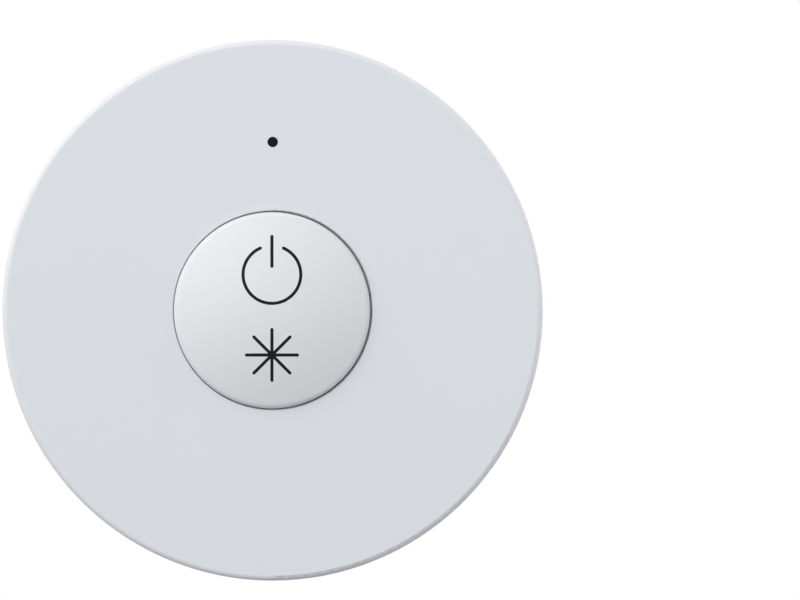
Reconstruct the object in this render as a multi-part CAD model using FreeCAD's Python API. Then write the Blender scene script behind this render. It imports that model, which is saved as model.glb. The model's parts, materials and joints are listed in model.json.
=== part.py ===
import FreeCAD, Part
import math
import os

from FreeCAD import Vector

# A round wireless wall switch: a domed button in a flat disc, held by magnets on a small wall plate.
# Sizes are in millimetres and degrees. Every piece is drawn lying on its back, with x to the right,
# y up the wall and z out from the wall. stand_up() turns it to face -Y, with +Z up and the wall at y = 0.

# Front cover
cover_diameter = 70.0
cover_wall = 1.6
cover_skirt_wall = 1.6
cover_rim_radius = 0.7
cover_foot_radius = 0.3
bore_edge_radius = 0.2
guide_wall = 1.0
guide_gap = 0.3
guide_foot_gap = 0.4
key_width = 2.0
key_gap = 0.25

# Push button
button_diameter = 25.4
button_gap = 0.16
button_shift = 0.1
button_proud = 0.6
button_travel = 0.4
button_edge_radius = 0.9
button_skirt_wall = 1.3
button_top_wall = 0.6
dome_rise = 2.2
flange_width = 1.2
flange_thickness = 1.0
stem_radius = 2.0
spring_collar_wall = 0.8
spring_collar_height = 0.6

# Symbols set into the dome
stroke_width = 0.41
inlay_depth = 0.2
power_ring_radius = 3.72
power_ring_height = 4.61
power_gap_half_angle = 23.7
power_bar_bottom = 5.47
power_bar_top = 9.73
star_arm = 3.49
star_drop = 5.76

# Indicator
indicator_height = 21.77
indicator_diameter = 1.36
indicator_gap = 0.02
lens_inset = 0.05
lens_shoulder_radius = 1.4
lens_shoulder_height = 1.0
lens_boss_wall = 0.9
lens_boss_gap = 0.05
lens_boss_height = 0.8
led_length = 2.0
led_width = 1.25
led_base_height = 0.35
led_lens_length = 1.4
led_lens_height = 0.35

# Circuit board and what holds it
board_diameter = 50.0
board_thickness = 1.0
board_standoff = 2.0
board_boss_radius = 2.0
board_screw_circle = 21.5
board_screw_angles = (0.0, 120.0, 240.0)
board_hole_gap = 0.1
board_notch_gap = 0.5

# Screws: shank and head radius, head height and length under the head
board_screw_radius = 0.8
board_screw_head_radius = 1.45
board_screw_head_height = 0.8
board_screw_length = 3.2
housing_screw_radius = 1.0
housing_screw_head_radius = 1.9
housing_screw_head_height = 1.3
housing_screw_length = 6.0
screw_fit = 0.02
screw_tip_gap = 0.2
screw_hole_gap = 0.15
screw_cross_width = 0.5
screw_cross_share = 0.6
screw_cross_depth = 0.5

# Rear shell
rear_floor = 1.4
rear_rim_gap = 0.6
rear_rim_height = 2.4
rear_rim_inset = 0.5
rear_rim_width = 5.2
rear_rim_radius = 0.8
rear_rim_web = 1.4
nest_gap = 0.3
nest_wall = 1.4
spigot_gap = 0.25
spigot_wall = 1.3
spigot_height = 3.0
housing_screw_inset = 3.1
housing_screw_angles = (30.0, 150.0, 270.0)
housing_boss_radius = 2.5
counterbore_radius = 2.2
counterbore_depth = 1.8
screw_seat = 1.2
rib_width = 3.4
rib_depth = 0.9
rib_gap = 0.3

# Magnets
magnet_angles = (90.0, 210.0, 330.0)
magnet_radius = 5.0
magnet_thickness = 1.5
magnet_gap = 0.05
magnet_pocket_wall = 1.15
magnet_pocket_floor = 0.8
magnet_collar_gap = 0.85

# Coin cell and its contacts
cell_diameter = 20.0
cell_height = 3.2
cell_edge_radius = 0.25
cell_cap_inset = 1.2
cell_cap_step = 0.3
cell_end_gap = 0.1
contact_rise = 0.8
leaf_thickness = 0.25
leaf_width = 4.0
leaf_crown = 2.0
leaf_slope = 4.0
leaf_foot = 2.0
clip_thickness = 0.3
clip_width = 4.0
clip_foot = 2.6
clip_leg = 2.4
clip_gap = 0.05
clip_window_gap = 0.5

# Battery well and twist-off door
well_gap = 0.4
well_wall = 1.0
well_top_gap = 0.5
shelf_thickness = 0.8
collar_wall = 1.2
door_gap = 0.15
door_inset = 0.1
door_floor = 1.2
door_edge_radius = 0.3
door_cell_gap = 0.35
door_rim_wall = 1.65
door_turn = 30.0
lug_reach = 1.6
lug_thickness = 0.8
lug_half_angle = 12.0
lug_under_gap = 0.1
lug_over_gap = 0.2
lug_end_gap = 0.3
lug_side_angle = 1.0
stop_angle = 4.0
lug_count = 3
lug_first_angle = 90.0
coin_slot_length = 14.0
coin_slot_width = 1.8
coin_slot_depth = 0.7
door_mark_length = 2.4
door_mark_inset = 0.9
mark_gap = 1.0
mark_radius = 0.55
mark_ring_radius = 0.3
mark_depth = 0.3

# Tact switch under the button
tact_size = 6.2
tact_height = 2.0
tact_lid = 0.3
tact_bore_depth = 1.0
plunger_radius = 1.6
plunger_proud = 0.5

# Pairing switch on the back of the board, pressed with a pin through the rear shell
pairing_circle = 19.0
pairing_angle = 45.0
pairing_size = 4.2
pairing_height = 1.6
pairing_lid = 0.25
pairing_bore_depth = 0.8
pairing_plunger_radius = 0.9
pairing_plunger_proud = 1.8
pairing_travel = 0.25
pin_hole_radius = 1.0
pin_hole_flare = 0.4

# What both switches share
plunger_gap = 0.1
lid_inset = 0.2
lead_width = 0.7
lead_reach = 1.0
lead_thickness = 0.2
lead_inset = 0.6

# Button spring
spring_radius = 5.6
spring_wire = 0.45
spring_turns = 2.5
spring_end_gap = 0.05
spring_side_gap = 0.35

# Radio parts on the front of the board: radial size, size across and height
radio_circle = 19.0
radio_angle = 180.0
radio_size = 5.0
radio_height = 0.85
crystal_circle = 19.5
crystal_angle = 163.0
crystal_length = 3.2
crystal_width = 2.5
crystal_height = 0.8
antenna_circle = 22.3
antenna_angle = 212.0
antenna_length = 7.0
antenna_width = 2.0
antenna_height = 1.1
passive_circle = 18.5
passive_angles = (78.0, 138.0, 144.0, 150.0, 194.0, 200.0, 206.0)
passive_length = 1.6
passive_width = 0.8
passive_height = 0.45
capacitor_circle = 19.0
capacitor_angle = 315.0
capacitor_length = 6.0
capacitor_width = 3.2
capacitor_height = 2.0

# Wall plate with its steel ring and foam pads
plate_thickness = 2.4
plate_edge = 0.4
keeper_rim = 2.5
keeper_width = 11.0
keeper_thickness = 0.8
keeper_gap = 0.1
wall_hole_radius = 1.8
wall_sink_radius = 3.3
wall_boss_wall = 0.7
wall_boss_gap = 0.2
pad_margin = 3.0
pad_width = 13.6
pad_corner_radius = 3.0
pad_thickness = 0.8
pad_gap = 0.2
pad_height = 13.0

# Heights above the wall, from the pieces stacked on each other
nest_z = plate_thickness
floor_z = nest_z + rear_floor
door_z = nest_z + door_inset
door_floor_z = door_z + door_floor
cell_z = door_floor_z + cell_end_gap
cell_top_z = cell_z + cell_height
board_z = cell_top_z + contact_rise
board_top_z = board_z + board_thickness
cover_in_z = board_top_z + board_standoff
face_z = cover_in_z + cover_wall
dome_edge_z = face_z + button_proud
ceiling_z = dome_edge_z - button_top_wall
split_z = rear_rim_gap + rear_rim_height
lug_z = floor_z + lug_under_gap
lug_top_z = lug_z + lug_thickness
shelf_z = lug_top_z + lug_over_gap
shelf_top_z = shelf_z + shelf_thickness
well_top_z = board_z - well_top_gap
screw_seat_z = nest_z + counterbore_depth
post_top_z = screw_seat_z + screw_seat
plunger_top_z = board_top_z + tact_height + plunger_proud
flange_z = cover_in_z - flange_thickness
guide_z = board_top_z + guide_foot_gap

# Radii that follow from the pieces above
cover_radius = cover_diameter / 2
cover_inner_radius = cover_radius - cover_skirt_wall
button_radius = button_diameter / 2
bore_radius = button_radius + button_gap
flange_radius = button_radius + flange_width
notch_radius = bore_radius + button_gap
guide_radius = flange_radius + guide_gap
board_radius = board_diameter / 2
rear_radius = cover_radius - rear_rim_inset
spigot_radius = cover_inner_radius - spigot_gap
nest_radius = rear_radius - rear_rim_width
plate_radius = nest_radius - nest_gap
rib_radius = nest_radius - rib_depth
keeper_outer_radius = plate_radius - keeper_rim
keeper_inner_radius = keeper_outer_radius - keeper_width
wall_hole_circle = (keeper_inner_radius + keeper_outer_radius) / 2
housing_screw_circle = nest_radius - housing_screw_inset
wall_boss_radius = wall_sink_radius + wall_boss_wall
pad_outer_edge = pad_height + pad_width / 2
pad_length = 2 * math.sqrt((plate_radius - pad_margin) ** 2 - pad_outer_edge ** 2)
cell_radius = cell_diameter / 2
well_radius = cell_radius + well_gap
door_cup_radius = cell_radius + door_cell_gap
door_radius = door_cup_radius + door_rim_wall
door_hole_radius = door_radius + door_gap
lug_radius = door_radius + lug_reach
groove_radius = lug_radius + lug_end_gap
collar_radius = groove_radius + collar_wall
mark_circle = groove_radius + mark_gap
magnet_pocket_radius = magnet_radius + magnet_gap
magnet_circle = collar_radius + magnet_collar_gap + magnet_pocket_radius
indicator_radius = indicator_diameter / 2
lens_pocket_radius = lens_shoulder_radius + lens_boss_gap
spring_collar_radius = spring_radius + spring_wire / 2 + spring_side_gap

# How far a cutting shape runs past the face that it cuts
past = 1.0


def in_section(u, v):
    return Vector(u, 0, v)


def in_plan(u, v):
    return Vector(u, v, 0)


def rounded_wire(corners, place):
    # A closed outline through (u, v) or (u, v, corner radius), each round corner a tangent arc
    edges = []
    ends = []
    arcs = []
    for i, corner in enumerate(corners):
        here = place(corner[0], corner[1])
        radius = corner[2] if len(corner) > 2 else 0.0
        if radius <= 0:
            ends.append((here, here))
            arcs.append(None)
            continue
        before = place(*corners[i - 1][:2]) - here
        after = place(*corners[(i + 1) % len(corners)][:2]) - here
        before.normalize()
        after.normalize()
        half = before.getAngle(after) / 2
        inward = before + after
        inward.normalize()
        centre = here + inward * (radius / math.sin(half))
        start = here + before * (radius / math.tan(half))
        end = here + after * (radius / math.tan(half))
        ends.append((start, end))
        arcs.append(Part.Arc(start, centre - inward * radius, end).toShape())
    for i, arc in enumerate(arcs):
        if arc:
            edges.append(arc)
        leave = ends[i][1]
        arrive = ends[(i + 1) % len(ends)][0]
        if leave.distanceToPoint(arrive) > 1e-6:
            edges.append(Part.LineSegment(leave, arrive).toShape())
    return Part.Wire(edges)


def turned(corners):
    face = Part.Face(rounded_wire(corners, in_section))
    return face.revolve(Vector(0, 0, 0), Vector(0, 0, 1), 360)


def disc(radius, low, high, x=0.0, y=0.0):
    return Part.makeCylinder(radius, high - low, Vector(x, y, low))


def tube(outer, inner, low, high, x=0.0, y=0.0):
    return disc(outer, low, high, x, y).cut(disc(inner, low, high, x, y))


def block(length, width, low, high, x=0.0, y=0.0):
    # A box centred on x, y
    return Part.makeBox(length, width, high - low, Vector(x - length / 2, y - width / 2, low))


def sector(inner, outer, first, last, low, high):
    # Part of a ring, from the angle first to the angle last
    def at(radius, angle):
        turn = math.radians(angle)
        return Vector(radius * math.cos(turn), radius * math.sin(turn), low)

    middle = (first + last) / 2
    edges = [
        Part.Arc(at(outer, first), at(outer, middle), at(outer, last)).toShape(),
        Part.LineSegment(at(outer, last), at(inner, last)).toShape(),
        Part.Arc(at(inner, last), at(inner, middle), at(inner, first)).toShape(),
        Part.LineSegment(at(inner, first), at(outer, first)).toShape(),
    ]
    return Part.Face(Part.Wire(edges)).extrude(Vector(0, 0, high - low))


def at_polar(shape, radius, angle):
    # The shape's own x axis points outwards there
    copy = shape.copy()
    copy.translate(Vector(radius, 0, 0))
    copy.rotate(Vector(0, 0, 0), Vector(0, 0, 1), angle)
    return copy


def spaced(shape, radius, angles):
    return [at_polar(shape, radius, angle) for angle in angles]


def bar(length, width, low, high):
    # A straight stroke along x with round ends, centred on the origin
    straight = length - width
    ends = [disc(width / 2, low, high, side * straight / 2) for side in (-1, 1)]
    return block(straight, width, low, high).fuse(ends).removeSplitter()


def screw(shank_radius, head_radius, head_height, length):
    # Head below z = 0 and shank above it, with a cross recess in the head
    shape = disc(shank_radius, 0, length).fuse(disc(head_radius, -head_height, 0))
    reach = 2 * head_radius * screw_cross_share
    for long_side, short_side in ((reach, screw_cross_width), (screw_cross_width, reach)):
        arm = block(long_side, short_side, -head_height - past, -head_height + screw_cross_depth)
        shape = shape.cut(arm)
    return shape.removeSplitter()


# Front cover

def housing_boss():
    tip_z = screw_seat_z + housing_screw_length + screw_tip_gap
    boss = disc(housing_boss_radius, post_top_z, cover_in_z)
    hole = disc(housing_screw_radius + screw_fit, post_top_z - past, tip_z)
    return boss, hole


def board_boss():
    tip_z = board_z + board_screw_length + screw_tip_gap
    boss = disc(board_boss_radius, board_top_z, cover_in_z)
    hole = disc(board_screw_radius + screw_fit, board_top_z - past, tip_z)
    return boss, hole


def front_cover():
    rim = min(cover_rim_radius, cover_wall, cover_skirt_wall)
    shell = turned([
        (bore_radius, face_z, bore_edge_radius),
        (cover_radius, face_z, rim),
        (cover_radius, split_z, cover_foot_radius),
        (cover_inner_radius, split_z),
        (cover_inner_radius, cover_in_z),
        (bore_radius, cover_in_z),
    ])
    guide = tube(guide_radius + guide_wall, guide_radius, guide_z, cover_in_z)
    key_low = notch_radius + key_gap
    key_length = guide_radius + guide_wall / 2 - key_low
    key = block(key_length, key_width, guide_z, cover_in_z, key_low + key_length / 2)
    lens_boss = disc(lens_pocket_radius + lens_boss_wall, cover_in_z - lens_boss_height, cover_in_z,
                     0, indicator_height)
    lens_pocket = disc(lens_pocket_radius, cover_in_z - lens_boss_height - past, cover_in_z,
                       0, indicator_height)
    lens_hole = disc(indicator_radius, cover_in_z - past, face_z + past, 0, indicator_height)
    housing, housing_hole = housing_boss()
    board, board_hole = board_boss()
    added = [guide, lens_boss]
    added += spaced(key, 0, (0, 180))
    added += spaced(housing, housing_screw_circle, housing_screw_angles)
    added += spaced(board, board_screw_circle, board_screw_angles)
    cut = [lens_pocket, lens_hole]
    cut += spaced(housing_hole, housing_screw_circle, housing_screw_angles)
    cut += spaced(board_hole, board_screw_circle, board_screw_angles)
    return shell.fuse(added).cut(cut).removeSplitter()


def indicator_lens():
    shoulder = disc(lens_shoulder_radius, cover_in_z - lens_shoulder_height, cover_in_z,
                    0, indicator_height)
    tip = disc(indicator_radius - indicator_gap, cover_in_z, face_z - lens_inset, 0, indicator_height)
    return shoulder.fuse(tip).removeSplitter()


# Push button with its two symbols

def dome(edge_z):
    # Everything under the domed top face, whose edge lies at edge_z
    ball_radius = (button_radius ** 2 + dome_rise ** 2) / (2 * dome_rise)
    ball = Part.makeSphere(ball_radius)
    ball.rotate(Vector(0, 0, 0), Vector(1, 0, 0), -90)
    ball.rotate(Vector(0, 0, 0), Vector(0, 1, 0), 90)
    ball.translate(Vector(0, 0, edge_z + dome_rise - ball_radius))
    return disc(button_radius, flange_z, edge_z + dome_rise + past).common(ball)


def at_rest(shape):
    # The button lies a little to the left in the clearance of its bore
    shape.translate(Vector(-button_shift, 0, 0))
    return shape


def symbol_skin():
    return dome(dome_edge_z).cut(dome(dome_edge_z - inlay_depth))


def power_symbol():
    low = flange_z
    high = dome_edge_z + dome_rise + past
    half = stroke_width / 2
    first = 90 + power_gap_half_angle
    ring = sector(power_ring_radius - half, power_ring_radius + half, first, 540 - first, low, high)
    ends = spaced(disc(half, low, high), power_ring_radius, (first, -first + 180))
    arc = ring.fuse(ends).removeSplitter()
    arc.translate(Vector(0, power_ring_height, 0))
    line = bar(power_bar_top - power_bar_bottom, stroke_width, low, high)
    line.rotate(Vector(0, 0, 0), Vector(0, 0, 1), 90)
    line.translate(Vector(0, (power_bar_top + power_bar_bottom) / 2, 0))
    skin = symbol_skin()
    return [at_rest(arc.common(skin)), at_rest(line.common(skin))]


def dimmer_symbol():
    line = bar(2 * star_arm, stroke_width, flange_z, dome_edge_z + dome_rise + past)
    lines = spaced(line, 0, (0, 45, 90, 135))
    star = lines[0].fuse(lines[1:]).removeSplitter()
    star.translate(Vector(0, -star_drop, 0))
    return [at_rest(star.common(symbol_skin()))]


def push_button(symbols):
    cap = dome(dome_edge_z)
    edge = [e for e in cap.Edges if e.BoundBox.ZMin > dome_edge_z - past and e.BoundBox.ZLength < 1e-3]
    cap = cap.makeFillet(min(button_edge_radius, button_skirt_wall), edge)
    flange = disc(flange_radius, flange_z, cover_in_z)
    hollow = disc(button_radius - button_skirt_wall, flange_z - past, ceiling_z)
    # The notches for the keys end short of the bore, so nothing shows through the seam
    notch_length = flange_radius + past - notch_radius
    notch = block(notch_length, key_width + 2 * key_gap, flange_z - past, cover_in_z + past,
                  notch_radius + notch_length / 2)
    collar = tube(spring_collar_radius + spring_collar_wall, spring_collar_radius,
                  ceiling_z - spring_collar_height, ceiling_z)
    stem = disc(stem_radius, plunger_top_z, ceiling_z)
    cap = cap.fuse(flange).cut([hollow] + spaced(notch, 0, (0, 180)))
    cap = at_rest(cap.fuse([collar, stem]))
    return cap.cut(symbols).removeSplitter()


# Return spring of the button

def coil_path(low, high):
    # A helix as pairs of tangent arcs, each pair a quarter turn
    steps = int(round(spring_turns * 4))
    rate = (high - low) / spring_turns

    def point(turns):
        turn = 2 * math.pi * turns
        return Vector(spring_radius * math.cos(turn), spring_radius * math.sin(turn), low + rate * turns)

    def heading(turns):
        turn = 2 * math.pi * turns
        round_trip = 2 * math.pi * spring_radius
        way = Vector(-round_trip * math.sin(turn), round_trip * math.cos(turn), rate)
        return way.normalize()

    edges = []
    for step in range(steps):
        start = point(step * spring_turns / steps)
        end = point((step + 1) * spring_turns / steps)
        leave = heading(step * spring_turns / steps)
        arrive = heading((step + 1) * spring_turns / steps)
        chord = end - start
        both = leave + arrive
        spread = 2 * (1 - leave.dot(arrive))
        reach = math.sqrt(chord.dot(both) ** 2 + spread * chord.dot(chord)) - chord.dot(both)
        reach = reach / spread
        first_corner = start + leave * reach
        last_corner = end - arrive * reach
        middle = (first_corner + last_corner) * 0.5
        edges.append(tangent_arc(start, first_corner, middle))
        edges.append(tangent_arc(middle, last_corner, end))
    return Part.Wire(edges), heading(0), point(0)


def tangent_arc(start, corner, end):
    # The arc that touches both legs of an even-sided corner
    before = start - corner
    after = end - corner
    leg = before.Length
    before.normalize()
    after.normalize()
    half = before.getAngle(after) / 2
    inward = before + after
    inward.normalize()
    radius = leg * math.tan(half)
    centre = corner + inward * (radius / math.sin(half))
    return Part.Arc(start, centre - inward * radius, end).toShape()


def button_spring():
    inset = spring_wire / 2 + spring_end_gap
    path, way, start = coil_path(board_top_z + inset, ceiling_z - inset)
    section = Part.Wire([Part.Circle(start, way, spring_wire / 2).toShape()])
    return path.makePipeShell([section], True, False)


# Small switches: the one under the button and the one for pairing

def small_switch(size, height, lid, bore_depth, radius, proud, travel):
    # Body, lid, plunger and leads, standing on z = 0
    body_top = height - lid
    bore_low = body_top - bore_depth
    bore = disc(radius + plunger_gap, bore_low, height + past)
    body = block(size, size, 0, body_top).cut(bore)
    plate_size = size - 2 * lid_inset
    plate = block(plate_size, plate_size, body_top, height).cut(bore)
    plunger = disc(radius, bore_low + travel + plunger_gap, height + proud)
    lead = block(lead_reach, lead_width, 0, lead_thickness, size / 2 + lead_reach / 2)
    leads = []
    for side in (-1, 1):
        shifted = lead.copy()
        shifted.translate(Vector(0, side * (size / 2 - lead_inset - lead_width / 2), 0))
        leads += spaced(shifted, 0, (0, 180))
    return body, plate, plunger, leads


def tact_switch():
    made = small_switch(tact_size, tact_height, tact_lid, tact_bore_depth, plunger_radius,
                        plunger_proud, button_travel)
    body, plate, plunger, leads = made
    for shape in [body, plate, plunger] + leads:
        shape.translate(Vector(0, 0, board_top_z))
    return made


def pairing_switch():
    made = small_switch(pairing_size, pairing_height, pairing_lid, pairing_bore_depth,
                        pairing_plunger_radius, pairing_plunger_proud, pairing_travel)
    body, plate, plunger, leads = made
    turn = math.radians(pairing_angle)
    for shape in [body, plate, plunger] + leads:
        shape.rotate(Vector(0, 0, 0), Vector(1, 0, 0), 180)
        shape.translate(Vector(pairing_circle * math.cos(turn), pairing_circle * math.sin(turn), board_z))
    return made


# Circuit board and what is soldered to it

def circuit_board():
    notch = disc(housing_boss_radius + board_notch_gap, board_z - past, board_top_z + past)
    hole = disc(board_screw_radius + board_hole_gap, board_z - past, board_top_z + past)
    cut = spaced(notch, housing_screw_circle, housing_screw_angles)
    cut += spaced(hole, board_screw_circle, board_screw_angles)
    return disc(board_radius, board_z, board_top_z).cut(cut)


def indicator_led():
    base_top = board_top_z + led_base_height
    base = block(led_length, led_width, board_top_z, base_top, 0, indicator_height)
    lens = block(led_lens_length, led_width, base_top, base_top + led_lens_height, 0, indicator_height)
    return base.fuse(lens).removeSplitter()


def negative_contact():
    # A leaf that bends down from two feet on the board to a flat crown on the cell
    crown = leaf_crown / 2
    slope_end = crown + leaf_slope
    foot_end = slope_end + leaf_foot
    lean = leaf_thickness * (contact_rise - leaf_thickness) / leaf_slope / 2
    low = board_z - leaf_thickness
    half = [
        (crown, cell_top_z),
        (slope_end, low),
        (foot_end, low),
        (foot_end, board_z),
        (slope_end - lean, board_z),
        (crown - lean, cell_top_z + leaf_thickness),
    ]
    other = [(-u, v) for u, v in reversed(half)]
    face = Part.Face(rounded_wire(half + other, in_section))
    leaf = face.extrude(Vector(0, leaf_width, 0))
    leaf.translate(Vector(0, -leaf_width / 2, 0))
    return leaf


def positive_clip():
    # A foot on the board and a leg down the side of the cell
    near = cell_radius + clip_gap
    far = near + clip_thickness
    low = board_z - clip_thickness
    face = Part.Face(rounded_wire([
        (near, board_z - clip_leg),
        (far, board_z - clip_leg),
        (far, low, clip_thickness / 2),
        (near + clip_foot, low),
        (near + clip_foot, board_z),
        (near, board_z, clip_thickness),
    ], in_section))
    clip = face.extrude(Vector(0, clip_width, 0))
    clip.translate(Vector(0, -clip_width / 2, 0))
    return clip


def coin_cell():
    cap_z = cell_top_z - cell_cap_step
    return turned([
        (0, cell_z),
        (cell_radius, cell_z, cell_edge_radius),
        (cell_radius, cap_z, cell_edge_radius),
        (cell_radius - cell_cap_inset, cap_z),
        (cell_radius - cell_cap_inset, cell_top_z),
        (0, cell_top_z),
    ])


def on_front(length, width, height, circle, angle):
    return at_polar(block(length, width, board_top_z, board_top_z + height), circle, angle)


def on_back(length, width, height, circle, angle):
    return at_polar(block(length, width, board_z - height, board_z), circle, angle)


# Rear shell and battery door

def lug_angles(shift):
    return [lug_first_angle + shift + 360 * i / lug_count for i in range(lug_count)]


def battery_well():
    # Collar over the lugs, shelf above them and wall round the cell
    wall_radius = well_radius + well_wall
    well = turned([
        (groove_radius, floor_z),
        (collar_radius, floor_z),
        (collar_radius, shelf_top_z),
        (wall_radius, shelf_top_z),
        (wall_radius, well_top_z),
        (well_radius, well_top_z),
        (well_radius, shelf_z),
        (groove_radius, shelf_z),
    ])
    near = cell_radius
    far = near + clip_gap + clip_foot + clip_window_gap
    low = board_z - clip_leg - clip_window_gap
    window = block(far - near, clip_width + 2 * clip_window_gap, low, well_top_z + past, (near + far) / 2)
    return well.cut(spaced(window, 0, (0, 180)))


def door_stops():
    # Ribs in the groove that the lugs meet at both ends of the turn
    side = lug_half_angle + lug_side_angle
    inner = door_hole_radius + lug_end_gap
    outer = groove_radius + collar_wall / 2
    locked = sector(inner, outer, side, side + stop_angle, floor_z, shelf_z)
    opened = sector(inner, outer, -door_turn - side - stop_angle, -door_turn - side, floor_z, shelf_z)
    return spaced(locked, 0, lug_angles(0)) + spaced(opened, 0, lug_angles(0))


def rear_shell():
    web_z = rear_rim_gap + rear_rim_web
    spigot_top_z = split_z + spigot_height
    shell = turned([
        (door_hole_radius, nest_z),
        (nest_radius, nest_z),
        (nest_radius, rear_rim_gap),
        (rear_radius, rear_rim_gap, min(rear_rim_radius, rear_rim_height)),
        (rear_radius, split_z),
        (spigot_radius, split_z),
        (spigot_radius, spigot_top_z),
        (spigot_radius - spigot_wall, spigot_top_z),
        (spigot_radius - spigot_wall, web_z),
        (nest_radius + nest_wall, web_z),
        (nest_radius + nest_wall, floor_z),
        (door_hole_radius, floor_z),
    ])
    pocket_top = nest_z + magnet_thickness + 2 * magnet_gap
    magnet_boss = disc(magnet_pocket_radius + magnet_pocket_wall, nest_z, pocket_top + magnet_pocket_floor)
    magnet_pocket = disc(magnet_pocket_radius, nest_z - past, pocket_top)
    post = disc(housing_boss_radius, nest_z, post_top_z)
    counterbore = disc(counterbore_radius, nest_z - past, screw_seat_z)
    screw_hole = disc(housing_screw_radius + screw_hole_gap, nest_z, post_top_z + past)
    entry = sector(door_hole_radius - past, groove_radius, -lug_half_angle - lug_side_angle,
                   lug_half_angle + lug_side_angle, nest_z - past, floor_z)
    pin_hole = disc(pin_hole_radius, nest_z - past, floor_z + past)
    flare = Part.makeCone(pin_hole_radius + pin_hole_flare, pin_hole_radius, pin_hole_flare,
                          Vector(0, 0, nest_z))
    rib = block(rib_width, rib_depth + nest_wall / 2, rear_rim_gap, nest_z,
                0, -(rib_radius + (rib_depth + nest_wall / 2) / 2))
    added = [battery_well(), rib]
    added += spaced(magnet_boss, magnet_circle, magnet_angles)
    added += spaced(post, housing_screw_circle, housing_screw_angles)
    cut = spaced(magnet_pocket, magnet_circle, magnet_angles)
    cut += spaced(counterbore, housing_screw_circle, housing_screw_angles)
    cut += spaced(screw_hole, housing_screw_circle, housing_screw_angles)
    cut += spaced(entry, 0, lug_angles(-door_turn))
    cut += [at_polar(shape, pairing_circle, pairing_angle) for shape in (pin_hole, flare)]
    locked_mark = disc(mark_radius, nest_z - past, nest_z + mark_depth)
    open_mark = tube(mark_radius, mark_ring_radius, nest_z - past, nest_z + mark_depth)
    cut.append(at_polar(locked_mark, mark_circle, lug_first_angle))
    cut.append(at_polar(open_mark, mark_circle, lug_first_angle - door_turn))
    return shell.fuse(added).cut(cut).fuse(door_stops()).removeSplitter()


def battery_door():
    cup = turned([
        (0, door_z),
        (door_radius, door_z, door_edge_radius),
        (door_radius, lug_top_z),
        (door_cup_radius, lug_top_z),
        (door_cup_radius, door_floor_z),
        (0, door_floor_z),
    ])
    lug = sector(door_radius - lug_thickness / 2, lug_radius, -lug_half_angle, lug_half_angle,
                 lug_z, lug_top_z)
    slot = bar(coin_slot_length, coin_slot_width, door_z - past, door_z + coin_slot_depth)
    mark = bar(door_mark_length, 2 * mark_ring_radius, door_z - past, door_z + mark_depth)
    mark = at_polar(mark, door_radius - door_mark_inset - door_mark_length / 2, lug_first_angle)
    return cup.fuse(spaced(lug, 0, lug_angles(0))).cut([slot, mark]).removeSplitter()


def magnets():
    low = nest_z + magnet_gap
    return spaced(disc(magnet_radius, low, low + magnet_thickness), magnet_circle, magnet_angles)


# Wall plate, keeper ring and pads

def pad(grow, low, high):
    half_length = pad_length / 2 + grow
    half_width = pad_width / 2 + grow
    corner = min(pad_corner_radius + grow, half_width)
    corners = [(half_length, half_width, corner), (-half_length, half_width, corner),
               (-half_length, -half_width, corner), (half_length, -half_width, corner)]
    shape = Part.Face(rounded_wire(corners, in_plan)).extrude(Vector(0, 0, high - low))
    shape.translate(Vector(0, 0, low))
    return shape


def both_pads(grow, low, high):
    shapes = []
    for side in (-1, 1):
        shape = pad(grow, low, high)
        shape.translate(Vector(0, side * pad_height, 0))
        shapes.append(shape)
    return shapes


def keeper_ring():
    ring = tube(keeper_outer_radius, keeper_inner_radius, nest_z - keeper_thickness, nest_z)
    hole = disc(wall_boss_radius + wall_boss_gap, nest_z - keeper_thickness - past, nest_z + past)
    return ring.cut(spaced(hole, wall_hole_circle, (0, 180)))


def wall_plate():
    plate = turned([
        (0, 0),
        (plate_radius, 0, plate_edge / 2),
        (plate_radius, nest_z - plate_edge),
        (plate_radius - plate_edge, nest_z),
        (0, nest_z),
    ])
    pocket = tube(keeper_outer_radius + keeper_gap, keeper_inner_radius - keeper_gap,
                  nest_z - keeper_thickness, nest_z + past)
    boss = disc(wall_boss_radius, 0, nest_z + past)
    pocket = pocket.cut(spaced(boss, wall_hole_circle, (0, 180)))
    sink_depth = wall_sink_radius - wall_hole_radius
    hole = disc(wall_hole_radius, -past, nest_z + past)
    sink = Part.makeCone(wall_hole_radius, wall_sink_radius, sink_depth, Vector(0, 0, nest_z - sink_depth))
    notch_inner = rib_radius - rib_gap
    notch = block(rib_width + 2 * rib_gap, past + plate_radius - notch_inner, -past, nest_z + past,
                  0, -(plate_radius + past + notch_inner) / 2)
    cut = [pocket, notch] + both_pads(pad_gap, -past, pad_thickness)
    cut += spaced(hole, wall_hole_circle, (0, 180))
    cut += spaced(sink, wall_hole_circle, (0, 180))
    return plate.cut(cut).removeSplitter()


# All pieces by name

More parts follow.
